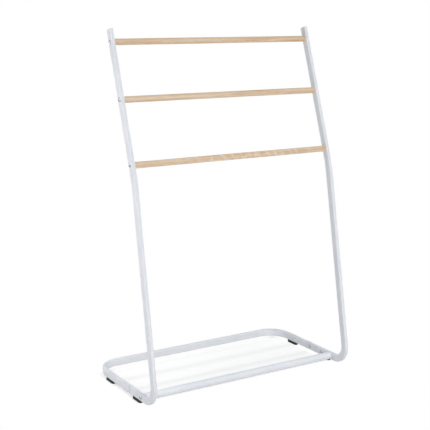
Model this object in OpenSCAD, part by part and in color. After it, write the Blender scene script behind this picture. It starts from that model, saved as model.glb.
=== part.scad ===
// Freestanding towel stand: two bent flat-tube uprights and a rear hoop form the frame,
// three wooden rails and a round crossbar tie it across, and four rubber pads carry it.
// Millimetres, +Z up, +Y to the rear. The origin is on the floor under the middle of the base.

/* [Overall] */
// Width over the outer faces of the two uprights
stand_w = 600; // [480:5:760]
// Height from the floor to the highest edge of the uprights' end plugs
stand_h = 920; // [880:5:1000]
// Depth of the base from its front bends to the back of the rear bar
base_depth = 340; // [320:5:420]

/* [Frame tube] */
// Deep side of the flat tube, upright in the base
tube_deep = 20; // [18:0.5:24]
// Thin side of the flat tube, measured across the stand
tube_thin = 10; // [9:0.5:12]
// Wall of the flat tube
tube_wall = 1.2; // [0.8:0.1:1.5]
// Outer corner radius of the flat tube
tube_corner = 2.5; // [2:0.25:3.5]
// How far the section draws in round a bend, on each side
bend_draw = 0.02; // [0.01:0.01:0.1]

/* [Uprights] */
// Lean from the vertical below the gentle bend, in degrees
lower_lean = 10; // [6:0.5:12]
// Lean from the vertical above the gentle bend, in degrees
upper_lean = 18.5; // [15:0.5:22]
// Height of the gentle bend below the lower rail's axis
bend_drop = 43; // [38:1:80]
// Centreline radius of the gentle bend
gentle_bend_r = 240; // [150:10:280]
// Centreline radius of the tight bend at the front of the base
foot_bend_r = 40; // [30:1:45]

/* [Base] */
// Distance from the front of the base to the seam in each side run
seam_setback = 133; // [130:1:150]
// Centreline radius of the rear hoop's corners
hoop_bend_r = 60; // [30:1:65]
// Length of the bar hidden inside each seam
joint_bar_len = 72; // [68:1:74]
// Distance from the seam to the screw on each side of it
joint_screw_reach = 27; // [20:1:30]

/* [Front crossbar] */
// Outer diameter of the round crossbar
crossbar_d = 20; // [16:0.5:20]
// Wall of the round crossbar
crossbar_wall = 1.2; // [0.8:0.1:2]
// Distance from the front of the base to the crossbar's axis
crossbar_setback = 71; // [66:1:76]
// Length of the threaded bush in each end of the crossbar
bush_len = 12; // [10:1:20]

/* [Wooden rails] */
// Diameter of the rails
rail_d = 16; // [14:0.5:18]
// Bevel on the ends of the rails
rail_bevel = 0.6; // [0.3:0.1:1]
// Height of the top rail's axis below the top of the uprights
top_rail_drop = 34; // [32:1:60]
// Height between the axes of the top and the middle rail
upper_rail_gap = 138; // [100:1:180]
// Height between the axes of the middle and the lower rail
lower_rail_gap = 155; // [100:1:180]
// Outer diameter of the threaded inserts in the rails' ends
insert_d = 9.8; // [9:0.1:10.5]
// Length of the threaded inserts
insert_len = 18; // [12:1:20]

/* [Bolts] */
// Shank diameter of all bolts and screws
bolt_d = 6; // [5:0.5:6]
// Diameter of the button heads
bolt_head_d = 10.5; // [9.5:0.1:12]
// Height of the button heads
bolt_head_h = 3.3; // [2.5:0.1:3.5]
// Width across the flats of the hexagon socket
socket_af = 4; // [3:0.5:4]
// Depth of the hexagon socket
socket_depth = 2; // [1.2:0.1:2]
// Length of the shanks that hold the rails and the crossbar, beyond the upright
bolt_reach = 16; // [12:1:18]
// Shank length of the short screws at the seams
joint_screw_len = 7.5; // [6:0.5:8]
// Diameter of the holes that the shanks pass through
bolt_hole_d = 6.5; // [6.2:0.1:7]

/* [End plugs] */
// Thickness of the plug's cap over the end of the tube
plug_cap_t = 2; // [1.5:0.25:3]
// Bevel round the top of the cap
plug_bevel = 0.8; // [0.4:0.1:1]
// Length of the plug's hollow stem inside the tube
plug_stem_len = 14; // [10:1:18]
// Wall of the plug's hollow stem
plug_stem_wall = 1.2; // [0.8:0.1:1.4]

/* [Feet] */
// Length of a rubber pad
foot_len = 42; // [40:1:46]
// Width of a rubber pad
foot_w = 12; // [11:0.5:14]
// Thickness of a rubber pad below the tube
foot_t = 6.5; // [5:0.5:8]
// Distance from the front of the base to the middle of the front pads
front_foot_setback = 96; // [90:1:97]
// Distance from the back of the base to the middle of the rear pads
rear_foot_setback = 91; // [88:1:100]
// Diameter of the pegs that press into the tube
peg_d = 5; // [4:0.5:6]
// Distance between the two pegs of a pad
peg_spacing = 12; // [11:1:14]
// How far the pegs sit off the pad's middle, away from the seam, to clear the joint bar
peg_offset = 10; // [9:1:11]
// How far the pegs stand inside the tube
peg_grip = 3; // [2:0.5:3.5]

/* [Small details] */
// Height of the straight rim of the button heads
head_rim_h = 0.8; // [0.4:0.1:1.2]
// Number of gripping ridges round an insert
insert_ridges = 6; // [4:1:8]
// Height of the ridges
insert_ridge_h = 0.7; // [0.4:0.1:0.9]
// Depth left free below an insert in its bore
insert_bottom_gap = 4; // [2:1:8]
// Thickness of the fins round a plug's stem
fin_h = 1; // [0.6:0.1:1.5]
// Places of the two fins, as shares of the stem's length
fin_places = [0.25, 0.65]; // [0.1:0.05:0.9]
// Edge step round the bottom of a pad
foot_edge = 0.6; // [0.4:0.1:1]
// Number of grooves across a pad
tread_count = 4; // [3:1:5]
// Width of a groove
tread_w = 1.6; // [1:0.1:2]
// Depth of a groove
tread_depth = 0.8; // [0.5:0.1:1.2]
// Height of the barb on a peg
peg_barb_h = 1.6; // [1.2:0.1:2]
// How far the barb stands out from the peg
peg_barb_out = 0.5; // [0.3:0.1:0.7]

/* [Clearances, on each side] */
// Between the joint bar and the inside of the tube
joint_play = 0.2; // [0.1:0.05:0.3]
// Between a bolt and its thread
thread_play = 0.05; // [0.03:0.01:0.1]
// Between an insert or bush and its bore, and between a barb and the tube's wall
bore_play = 0.05; // [0.03:0.01:0.1]
// Between a plug's stem and the inside of the tube
stem_play = 0.2; // [0.15:0.05:0.3]
// Between a plug's fins and the inside of the tube
fin_play = 0.05; // [0.03:0.01:0.1]
// Between a peg and its hole
peg_play = 0.05; // [0.03:0.01:0.1]

/* [Hidden] */
$fn = 64;
// Extra turn of a bend before it is cut, in degrees
over_sweep = 1;
// How far a cut runs past the face it opens
through = 1;

// Heights and places that follow from the sizes above
base_z = foot_t + tube_deep / 2;
top_rail_h = stand_h - top_rail_drop;
middle_rail_h = top_rail_h - upper_rail_gap;
lower_rail_h = middle_rail_h - lower_rail_gap;
bend_h = lower_rail_h - bend_drop;
side_x = stand_w / 2 - tube_thin / 2;
inner_x = stand_w / 2 - tube_thin;
rail_len = 2 * inner_x;
front_y = -base_depth / 2;
rear_y = base_depth / 2;
seam_y = front_y + seam_setback;
rear_bar_y = rear_y - tube_thin / 2;
crossbar_y = front_y + crossbar_setback;
front_foot_y = front_y + front_foot_setback;
rear_foot_y = rear_y - rear_foot_setback;
front_peg_ys = [for (side = [-1, 1]) front_foot_y - peg_offset + side * peg_spacing / 2];
rear_peg_ys = [for (side = [-1, 1]) rear_foot_y + peg_offset + side * peg_spacing / 2];

// Inside of the flat tube
bore_deep = tube_deep - 2 * tube_wall;
bore_thin = tube_thin - 2 * tube_wall;
bore_corner = max(tube_corner - tube_wall, 0.3);

// The upright's centreline in the Y-Z plane: a sharp corner at the front of the base,
// a second one at the gentle bend, and the cut end at the top
foot_turn = 90 + lower_lean;
gentle_turn = upper_lean - lower_lean;
foot_tangent = foot_bend_r * tan(foot_turn / 2);
gentle_tangent = gentle_bend_r * tan(gentle_turn / 2);
corner_y = front_y + tube_deep / 2 + foot_bend_r - foot_tangent;
bend_y = corner_y + (bend_h - base_z) * tan(lower_lean);
end_z = stand_h - plug_cap_t * cos(upper_lean) - tube_deep / 2 * sin(upper_lean);
end_y = bend_y + (end_z - bend_h) * tan(upper_lean);
base_run = seam_y - corner_y - foot_tangent;
lower_run = (bend_h - base_z) / cos(lower_lean) - foot_tangent - gentle_tangent;
upper_run = (end_z - bend_h) / cos(upper_lean) - gentle_tangent;
hoop_leg = rear_bar_y - seam_y - hoop_bend_r;
hoop_back = 2 * side_x - 2 * hoop_bend_r;

rail_heights = [top_rail_h, middle_rail_h, lower_rail_h];
joint_screw_ys = [seam_y - joint_screw_reach, seam_y + joint_screw_reach];
joint_bar_thin = bore_thin - 2 * joint_play;
joint_bar_deep = bore_deep - 2 * joint_play;

// Place of the upright's centreline above the gentle bend, at a given height
function upright_y(height) = bend_y + (height - bend_h) * tan(upper_lean);

powder_white = [0.93, 0.94, 0.95];
plug_white = [0.88, 0.89, 0.9];
beech = [0.86, 0.76, 0.64];
zinc = [0.72, 0.73, 0.75];
pad_black = [0.09, 0.09, 0.09];

// ---- shared shapes ----

// A rectangle with true round corners, centred on the origin
module rounded_rectangle(x_size, y_size, radius) {
    square([x_size - 2 * radius, y_size], center = true);
    square([x_size, y_size - 2 * radius], center = true);
    for (sx = [-1, 1], sy = [-1, 1])
        translate([sx * (x_size / 2 - radius), sy * (y_size / 2 - radius)])
            circle(r = radius);
}

// The wall of the flat tube seen end on, its deep side along X
module tube_section(draw = 0) {
    difference() {
        rounded_rectangle(tube_deep - 2 * draw, tube_thin - 2 * draw, tube_corner - draw);
        rounded_rectangle(bore_deep - 2 * draw, bore_thin - 2 * draw, bore_corner - draw);
    }
}

// A section swept round one bend, from local +Z towards local +X. The sweep runs a little
// long and is cut square on the plane where the next straight run starts
module bend(radius, turn) {
    difference() {
        translate([radius, 0, 0])
            rotate([90, 0, 180])
                rotate_extrude(angle = turn + over_sweep)
                    translate([radius, 0])
                        children();
        past_bend(radius, turn)
            translate([-tube_deep, -tube_deep, 0])
                cube([2 * tube_deep, 2 * tube_deep, tube_deep]);
    }
}

// Moves what follows to the far end of such a bend
module past_bend(radius, turn) {
    translate([radius, 0, 0])
        rotate([0, turn, 0])
            translate([-radius, 0, 0])
                children();
}

// One flat tube laid along local +Z: each step is [straight run, bend radius, bend angle],
// and the last step is a straight run alone. The section is turned by roll degrees, so that
// the bends go over the deep side (0) or over the thin side (90)
module laid_tube(steps, roll = 0, i = 0) {
    run = steps[i][0];
    linear_extrude(run)
        rotate(roll)
            tube_section();
    if (i < len(steps) - 1)
        translate([0, 0, run]) {
            bend(steps[i][1], steps[i][2])
                rotate(roll)
                    tube_section(bend_draw);
            past_bend(steps[i][1], steps[i][2])
                laid_tube(steps, roll, i + 1);
        }
}

// A cylinder along +X
module rod_x(diameter, length) {
    rotate([0, 90, 0])
        cylinder(d = diameter, h = length);
}

// A turned bar along +Z with bevelled ends
module turned_bar(diameter, length, bevel) {
    rotate_extrude()
        polygon([
            [0, 0], [diameter / 2 - bevel, 0], [diameter / 2, bevel],
            [diameter / 2, length - bevel], [diameter / 2 - bevel, length], [0, length]
        ]);
}

// Button-head bolt: the head sits on the face at z = 0 and the shank runs down
module button_bolt(shank) {
    rise = bolt_head_h - head_rim_h;
    dome_r = (rise * rise + pow(bolt_head_d / 2, 2)) / (2 * rise);
    tip = bolt_d / 10;
    difference() {
        intersection() {
            cylinder(d = bolt_head_d, h = bolt_head_h);
            translate([0, 0, bolt_head_h - dome_r])
                sphere(r = dome_r);
        }
        translate([0, 0, bolt_head_h - socket_depth])
            cylinder(d = socket_af / cos(30), h = socket_depth + through, $fn = 6);
    }
    translate([0, 0, -shank])
        rotate_extrude()
            polygon([
                [0, 0], [bolt_d / 2 - tip, 0], [bolt_d / 2, tip],
                [bolt_d / 2, shank], [0, shank]
            ]);
}

// Repeats a left-hand piece on the right
module on_side(side) {
    mirror([side > 0 ? 1 : 0, 0, 0])
        children();
}

// ---- frame ----

// Holes in the left upright for the rail bolts, the crossbar bolt, one seam screw and the pegs
module upright_holes() {
    for (height = rail_heights)
        translate([-stand_w / 2 - through, upright_y(height), height])
            rod_x(bolt_hole_d, tube_thin + 2 * through);
    translate([-stand_w / 2 - through, crossbar_y, base_z])
        rod_x(bolt_hole_d, tube_thin + 2 * through);
    translate([-side_x, joint_screw_ys[0], base_z])
        rod_x(bolt_hole_d, tube_thin / 2 + through);
    for (y = front_peg_ys)
        peg_hole(y);
}

// A peg's hole in the left run's bottom wall
module peg_hole(y) {
    translate([-side_x, y, foot_t - through])
        cylinder(d = peg_d + 2 * peg_play, h = tube_wall + 2 * through);
}

// Left upright: base run, tight front bend, lower leg, gentle bend, upper leg
module upright() {
    color(powder_white)
        difference() {
            translate([-side_x, seam_y, base_z])
                rotate([90, -90, 0])
                    laid_tube([
                        [base_run, foot_bend_r, foot_turn],
                        [lower_run, gentle_bend_r, gentle_turn],
                        [upper_run]
                    ]);
            upright_holes();
        }
}

// Rear hoop: one tube round both rear corners, its legs meeting the uprights at the seams
module rear_hoop() {
    color(powder_white)
        difference() {
            translate([-side_x, seam_y, base_z])
                rotate([-90, 0, 0])
                    laid_tube([
                        [hoop_leg, hoop_bend_r, 90],
                        [hoop_back, hoop_bend_r, 90],
                        [hoop_leg]
                    ], roll = 90);
            for (side = [-1, 1])
                on_side(side) {
                    translate([-side_x, joint_screw_ys[1], base_z])
                        rod_x(bolt_hole_d, tube_thin / 2 + through);
                    for (y = rear_peg_ys)
                        peg_hole(y);
                }
        }
}

// Front crossbar: a plain round tube between the inner faces of the side runs
module front_crossbar() {
    color(powder_white)
        translate([-inner_x, crossbar_y, base_z])
            difference() {
                rod_x(crossbar_d, rail_len);
                translate([-through, 0, 0])
                    rod_x(crossbar_d - 2 * crossbar_wall, rail_len + 2 * through);
            }
}

// Threaded bush fixed in the left end of the crossbar
module crossbar_bush() {
    color(zinc)
        translate([-inner_x, crossbar_y, base_z])
            difference() {
                rod_x(crossbar_d - 2 * crossbar_wall - 2 * bore_play, bush_len);
                translate([-through, 0, 0])
                    rod_x(bolt_d + 2 * thread_play, bush_len + 2 * through);
            }
}

// Flat bar inside the left seam, with a threaded hole on each side of it
module joint_bar() {
    color(zinc)
        difference() {
            translate([-side_x, seam_y - joint_bar_len / 2, base_z])
                rotate([-90, 0, 0])
                    linear_extrude(joint_bar_len)
                        rounded_rectangle(joint_bar_thin, joint_bar_deep, bore_corner);
            for (y = joint_screw_ys)
                translate([-side_x - tube_thin / 2, y, base_z])
                    rod_x(bolt_d + 2 * thread_play, tube_thin);
        }
}

// ---- rails ----

// One wooden rail with a blind bore in each end for its insert
module rail(height) {
    color(beech)
        translate([-inner_x, upright_y(height), height])
            rotate([0, 90, 0])
                difference() {
                    turned_bar(rail_d, rail_len, rail_bevel);
                    for (end = [0, 1])
                        translate([0, 0, end * rail_len])
                            mirror([0, 0, end])
                                translate([0, 0, -through])
                                    cylinder(
                                        d = insert_d + 2 * bore_play,
                                        h = insert_len + insert_bottom_gap + through
                                    );
                }
}

// Threaded insert along +Z, its outside cut into gripping ridges
module insert() {
    pitch = insert_len / insert_ridges;
    root_d = insert_d - 2 * insert_ridge_h;
    difference() {
        union() {
            cylinder(d = root_d, h = insert_len);
            for (i = [0:insert_ridges - 1])
                translate([0, 0, i * pitch])
                    cylinder(d1 = insert_d, d2 = root_d, h = pitch / 2);
        }
        translate([0, 0, -through])
            cylinder(d = bolt_d + 2 * thread_play, h = insert_len + 2 * through);
    }
}

// The two inserts of one rail, flush with its ends
module rail_inserts(height) {
    color(zinc)
        for (side = [-1, 1])
            on_side(side)
                translate([-inner_x, upright_y(height), height])
                    rotate([0, 90, 0])
                        insert();
}

// ---- fasteners ----

// A bolt through the left upright, its head on the outer face
module through_bolt(y, z) {
    translate([-stand_w / 2, y, z])
        rotate([0, -90, 0])
            button_bolt(tube_thin + bolt_reach);
}

// The three bolts that hold the rails to the left upright
module rail_bolts() {
    color(zinc)
        for (height = rail_heights)
            through_bolt(upright_y(height), height);
}

// The bolt at each end of the crossbar; the bush is shorter than a rail's insert
module crossbar_bolts() {
    color(zinc)
        for (side = [-1, 1])
            on_side(side)
                through_bolt(crossbar_y, base_z);
}

// The two screws of the left seam, their heads on the inner face
module joint_screws() {
    color(zinc)
        for (y = joint_screw_ys)
            translate([-inner_x, y, base_z])
                rotate([0, 90, 0])
                    button_bolt(joint_screw_len);
}

// ---- plastic and rubber ----

// Left end plug: a bevelled cap over the cut end and a finned hollow stem inside the tube
module end_plug() {
    stem_deep = bore_deep - 2 * stem_play;
    stem_thin = bore_thin - 2 * stem_play;
    fin_deep = bore_deep - 2 * fin_play;
    fin_thin = bore_thin - 2 * fin_play;
    color(plug_white)
        translate([-side_x, end_y, end_z])
            rotate([-upper_lean, 0, 0])
                rotate(90) {
                    hull() {
                        linear_extrude(plug_cap_t - plug_bevel)
                            rounded_rectangle(tube_deep, tube_thin, tube_corner);
                        linear_extrude(plug_cap_t)
                            rounded_rectangle(
                                tube_deep - 2 * plug_bevel,
                                tube_thin - 2 * plug_bevel,
                                tube_corner - plug_bevel
                            );
                    }
                    translate([0, 0, -plug_stem_len])
                        difference() {
                            union() {
                                linear_extrude(plug_stem_len)
                                    rounded_rectangle(stem_deep, stem_thin, bore_corner);
                                for (share = fin_places)
                                    translate([0, 0, share * plug_stem_len])
                                        linear_extrude(fin_h)
                                            rounded_rectangle(fin_deep, fin_thin, bore_corner);
                            }
                            translate([0, 0, -through])
                                linear_extrude(plug_stem_len + through)
                                    rounded_rectangle(
                                        stem_deep - 2 * plug_stem_wall,
                                        stem_thin - 2 * plug_stem_wall,
                                        bore_corner / 2
                                    );
                        }
                }
}

// Outline of a pad: a long rectangle with half-round ends
module pad_outline(length, width) {
    square([width, length - width], center = true);
    for (side = [-1, 1])
        translate([0, side * (length - width) / 2])
            circle(d = width);
}

// One peg, rooted in the middle of the pad, with a barb that snaps in behind the tube's wall
module peg() {
    barb_z = foot_t + tube_wall;
    translate([0, 0, foot_t / 2])
        cylinder(d = peg_d, h = barb_z - foot_t / 2 + peg_grip);
    translate([0, 0, barb_z + bore_play])
        cylinder(d1 = peg_d + 2 * peg_barb_out, d2 = peg_d, h = peg_barb_h);
}

// Rubber pad under the left run: a treaded sole, a body and two barbed pegs
module foot(y, peg_ys) {
    groove_pitch = (foot_len - foot_w) / (tread_count - 1);
    color(pad_black)
        translate([-side_x, 0, 0]) {
            difference() {
                translate([0, y, 0]) {
                    linear_extrude(foot_edge)
                        pad_outline(foot_len - 2 * foot_edge, foot_w - 2 * foot_edge);
                    translate([0, 0, foot_edge])
                        linear_extrude(foot_t - foot_edge)
                            pad_outline(foot_len, foot_w);
                }
                for (i = [0:tread_count - 1])
                    translate([
                        -foot_w,
                        y + (i - (tread_count - 1) / 2) * groove_pitch - tread_w / 2,
                        -through
                    ])
                        cube([2 * foot_w, tread_w, tread_depth + through]);
            }
            for (peg_y = peg_ys)
                translate([0, peg_y, 0])
                    peg();
        }
}

// ---- the nodes ----

module left_upright() upright();
module right_upright() on_side(1) upright();
module left_crossbar_bush() crossbar_bush();
module right_crossbar_bush() on_side(1) crossbar_bush();
module top_rail() rail(top_rail_h);
module middle_rail() rail(middle_rail_h);
module lower_rail() rail(lower_rail_h);
module top_rail_inserts() rail_inserts(top_rail_h);
module middle_rail_inserts() rail_inserts(middle_rail_h);
module lower_rail_inserts() rail_inserts(lower_rail_h);
module left_rail_bolts() rail_bolts();
module right_rail_bolts() on_side(1) rail_bolts();
module left_joint_bar() joint_bar();
module right_joint_bar() on_side(1) joint_bar();
module left_joint_screws() joint_screws();
module right_joint_screws() on_side(1) joint_screws();
module left_end_plug() end_plug();
module right_end_plug() on_side(1) end_plug();
module front_left_foot() foot(front_foot_y, front_peg_ys);
module front_right_foot() on_side(1) foot(front_foot_y, front_peg_ys);
module rear_left_foot() foot(rear_foot_y, rear_peg_ys);
module rear_right_foot() on_side(1) foot(rear_foot_y, rear_peg_ys);

left_upright();
right_upright();
rear_hoop();
front_crossbar();
left_crossbar_bush();
right_crossbar_bush();
top_rail();
middle_rail();
lower_rail();
top_rail_inserts();
middle_rail_inserts();
lower_rail_inserts();
left_rail_bolts();
right_rail_bolts();
crossbar_bolts();
left_joint_bar();
right_joint_bar();
left_joint_screws();
right_joint_screws();
left_end_plug();
right_end_plug();
front_left_foot();
front_right_foot();
rear_left_foot();
rear_right_foot();
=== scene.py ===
"""Freestanding towel stand: the dressed model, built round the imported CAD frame.

Every length is in metres, in the frame's own axes: +Z up, +Y to the rear, X across the stand.
"""

import logging
import math
from dataclasses import dataclass, field
from enum import Enum
from typing import Sequence

import bmesh
import bpy
from mathutils import Matrix, Vector


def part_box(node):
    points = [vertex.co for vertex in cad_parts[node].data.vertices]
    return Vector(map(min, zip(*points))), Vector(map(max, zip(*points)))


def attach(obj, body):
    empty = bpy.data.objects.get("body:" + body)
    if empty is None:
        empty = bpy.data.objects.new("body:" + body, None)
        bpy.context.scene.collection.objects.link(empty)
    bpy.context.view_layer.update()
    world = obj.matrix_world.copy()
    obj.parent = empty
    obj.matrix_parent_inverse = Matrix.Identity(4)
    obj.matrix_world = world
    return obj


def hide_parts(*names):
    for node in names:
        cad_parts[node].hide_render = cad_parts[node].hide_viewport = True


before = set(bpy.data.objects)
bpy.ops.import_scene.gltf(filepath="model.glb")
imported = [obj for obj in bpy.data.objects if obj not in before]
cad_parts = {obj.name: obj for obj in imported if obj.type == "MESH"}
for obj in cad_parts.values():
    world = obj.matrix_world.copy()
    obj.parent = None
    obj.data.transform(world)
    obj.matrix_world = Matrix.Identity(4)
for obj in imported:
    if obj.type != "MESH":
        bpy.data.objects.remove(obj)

log = logging.getLogger("towel_stand")

Pair = tuple[float, float]
Triple = tuple[float, float, float]
Socket = bpy.types.NodeSocket
Mesh = bpy.types.Mesh

MM = 0.001
BODY = "root"
RAILS = ("top_rail", "middle_rail", "lower_rail")
NO_MOVE: Triple = (0.0, 0.0, 0.0)
RIGHT_ANGLE = math.radians(90)
# From one corner of a hexagon to the next
HEX_ANGLE = math.radians(60)
# Where the rails lie in the endless board that they are cut from
BOARD_PLACE: Triple = (34.9, 8.4, 8.6)
# Edges sharper than this stay sharp in a smooth mesh
SHARP_EDGE = math.radians(32)
# How far in the middle point of a rounded edge lies, as a share of the edge's size
EDGE_MIDDLE = 0.3


class Side(Enum):
    """The two sides of the stand, by the sign of X."""

    LEFT = -1
    RIGHT = 1

    @property
    def word(self) -> str:
        """The side's name as the pieces carry it."""
        return self.name.lower()


class Slot(Enum):
    """The material slots that the pieces use."""

    POWDER = "white_powder_coat"
    WOOD = "pale_wood"
    BOLT = "bolt_steel"
    INNER = "inner_steel"
    PLASTIC = "white_plastic"
    RUBBER = "black_rubber"


# ---- node trees ----


class NodeSheet:
    """A node tree, with short ways to add nodes that are set and linked at once."""

    def __init__(self, tree: bpy.types.NodeTree) -> None:
        """Keeps the tree that the nodes go into."""
        self.tree = tree

    def feed(self, socket: Socket, value: object) -> None:
        """Links an input to another node's output, or gives it a plain value.

        Args:
            socket: The input.
            value: The output or the plain value.
        """
        if isinstance(value, Socket):
            self.tree.links.new(value, socket)
        else:
            socket.default_value = value

    def add(
        self, kind: str, given: dict[str | int, object] | None = None, **settings: object
    ) -> bpy.types.Node:
        """Adds a node.

        Args:
            kind: The node's type.
            given: What its inputs get, by name or number.
            **settings: Properties of the node.

        Returns:
            The new node.
        """
        node = self.tree.nodes.new(kind)
        for key, value in settings.items():
            setattr(node, key, value)
        for key, value in (given or {}).items():
            self.feed(node.inputs[key], value)
        return node

    def out(
        self, word: str | int, kind: str, given: dict[str | int, object] | None = None, **settings: object
    ) -> Socket:
        """Adds a node in the way that add does, and gives its output of a name or number."""
        return self.add(kind, given, **settings).outputs[word]


def srgb(colour: Triple) -> tuple[float, ...]:
    """Turns a screen colour, 0 to 255, into a shader's linear one with full alpha, by the sRGB curve."""
    shares = [value / 255 for value in colour]
    return (*[s / 12.92 if s <= 0.04045 else ((s + 0.055) / 1.055) ** 2.4 for s in shares], 1.0)


@dataclass(frozen=True)
class Grain:
    """A cloudy figure: its cells per metre, the way it is stretched and shifted, and its make-up."""

    per_m: float = 1.0
    detail: float = 2.0
    rough: float = 0.5
    warp: float = 0.0
    stretch: Triple | None = None
    shift: Triple = NO_MOVE


@dataclass(frozen=True)
class Waves:
    """A banded figure: the axis it runs across, its bands, how bent they are, and how it lies."""

    across: str
    bands: float
    warp: float
    fine_scale: float
    stretch: Triple = (1.0, 1.0, 1.0)
    turn: Triple = NO_MOVE
    shift: Triple = NO_MOVE
    detail: float = 3.0


class ShaderSheet(NodeSheet):
    """The shader tree of a material or a world."""

    def __init__(self, owner: bpy.types.Material | bpy.types.World) -> None:
        """Opens the owner's tree."""
        owner.use_nodes = True
        super().__init__(owner.node_tree)

    def calc(self, operation: str, *values: Socket | float) -> Socket:
        """Gives the result of a Math node with the given operation and inputs."""
        return self.out(0, "ShaderNodeMath", dict(enumerate(values)), operation=operation)

    def mix_shaders(self, share: Socket, first: Socket, second: Socket) -> Socket:
        """Mixes two shaders by the second one's share."""
        return self.out(0, "ShaderNodeMixShader", {0: share, 1: first, 2: second})

    def background_rays(self) -> Socket:
        """Tells the rays that look at the background from those that light the stand.

        Returns:
            A value of 1 for rays from the camera, and for those that glossy or clear surfaces send on.
        """
        path = self.add("ShaderNodeLightPath")
        total = path.outputs["Is Camera Ray"]
        for word in ("Is Glossy Ray", "Is Transmission Ray"):
            total = self.calc("MAXIMUM", total, path.outputs[word])
        return total


class FinishSheet(ShaderSheet):
    """A finish under way: one Principled shader, and patterns on the object's own coordinates."""

    def __init__(self, name: str) -> None:
        """Starts a material.

        Args:
            name: The material's name.
        """
        self.material = bpy.data.materials.new(name)
        super().__init__(self.material)
        self.shader = self.tree.nodes["Principled BSDF"]
        self.place = self.add("ShaderNodeTexCoord").outputs["Object"]

    def mapped(self, stretch: Triple, turn: Triple, shift: Triple) -> Socket:
        """Gives the object's own coordinates, stretched to repeats per metre, then turned and shifted."""
        given = {"Vector": self.place, "Scale": stretch, "Rotation": turn, "Location": shift}
        return self.out("Vector", "ShaderNodeMapping", given)

    def noise(self, grain: Grain) -> Socket:
        """Lays out a cloudy figure.

        Args:
            grain: The figure.

        Returns:
            Its value, about 0.5 on average.
        """
        at = self.mapped(grain.stretch, NO_MOVE, grain.shift) if grain.stretch else self.place
        given = {"Vector": at, "Scale": grain.per_m, "Detail": grain.detail}
        given |= {"Roughness": grain.rough, "Distortion": grain.warp}
        return self.out("Fac", "ShaderNodeTexNoise", given)

    def banded(self, waves: Waves) -> Socket:
        """Lays out a banded figure.

        Args:
            waves: The figure.

        Returns:
            Its value, from 0 to 1.
        """
        given = {"Vector": self.mapped(waves.stretch, waves.turn, waves.shift), "Scale": waves.bands}
        given |= {"Distortion": waves.warp, "Detail": waves.detail, "Detail Scale": waves.fine_scale}
        return self.out(
            "Fac", "ShaderNodeTexWave", given, wave_type="BANDS", bands_direction=waves.across
        )

    def ramp(self, value: Socket, *stops: tuple[float, Triple]) -> Socket:
        """Colours a value.

        Args:
            value: The value to colour.
            *stops: Pairs of place and screen colour, from low to high.

        Returns:
            The colour.
        """
        node = self.add("ShaderNodeValToRGB", {"Fac": value})
        band = node.color_ramp
        for element, (place, colour) in zip(band.elements, (stops[0], stops[-1])):
            element.position, element.color = place, srgb(colour)
        for place, colour in stops[1:-1]:
            band.elements.new(place).color = srgb(colour)
        return node.outputs["Color"]

    def two_tone(self, value: Socket, low: Triple, high: Triple, span: Pair = (0.35, 0.65)) -> Socket:
        """Colours a value from one screen colour to another over a span of it."""
        return self.ramp(value, (span[0], low), (span[1], high))

    def spread(self, value: Socket, reach: Pair, span: Pair = (0.3, 0.7)) -> Socket:
        """Maps a value from a span of its own onto the reach of the result, both from low to high."""
        given = {"Value": value, "From Min": span[0], "From Max": span[1]}
        return self.out("Result", "ShaderNodeMapRange", given | {"To Min": reach[0], "To Max": reach[1]})

    def tint(self, base: Socket, share: Socket, colour: Triple) -> Socket:
        """Mixes a share of a screen colour into a base colour."""
        given = {0: share, 6: base, 7: srgb(colour)}
        return self.out(2, "ShaderNodeMix", given, data_type="RGBA")

    def bump(self, height: Socket, relief: Pair, under: Socket | None = None) -> Socket:
        """Adds a bump.

        Args:
            height: The height, 0 to 1.
            relief: The share of the bump that is used, and the depth of a full step.
            under: A bump that this one lies on.

        Returns:
            The bent normal.
        """
        given = {"Height": height, "Strength": relief[0], "Distance": relief[1]}
        if under is not None:
            given["Normal"] = under
        return self.out("Normal", "ShaderNodeBump", given)

    def wear(self, **values: object) -> bpy.types.Material:
        """Feeds the shader's inputs.

        Args:
            **values: Plain values or outputs, by the input's name with _ for a space.

        Returns:
            The material.
        """
        for key, value in values.items():
            self.feed(self.shader.inputs[key.replace("_", " ")], value)
        return self.material


# ---- finishes ----


@dataclass(frozen=True)
class PowderCoat:
    """White satin powder coat: a fine orange-peel skin and a faint unevenness of tone."""

    colour: Triple = (232, 234, 238)
    shade: Triple = (226, 229, 234)
    drift: Grain = Grain(9.0, detail=3.0)
    peel: Grain = Grain(520.0, detail=1.5)
    grit: Grain = Grain(2600.0, detail=1.0)
    peel_relief: Pair = (0.16, 0.06 * MM)
    grit_relief: Pair = (0.1, 0.02 * MM)
    rough: Pair = (0.46, 0.56)
    gloss: float = 0.22

    def build(self) -> bpy.types.Material:
        """Makes the finish.

        Returns:
            Its material.
        """
        sheet = FinishSheet("white_powder_coat_finish")
        drift, peel, grit = [sheet.noise(grain) for grain in (self.drift, self.peel, self.grit)]
        return sheet.wear(
            Base_Color=sheet.two_tone(drift, self.shade, self.colour),
            Roughness=sheet.spread(peel, self.rough),
            Normal=sheet.bump(grit, self.grit_relief, sheet.bump(peel, self.peel_relief)),
            Specular_IOR_Level=self.gloss,
        )


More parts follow.
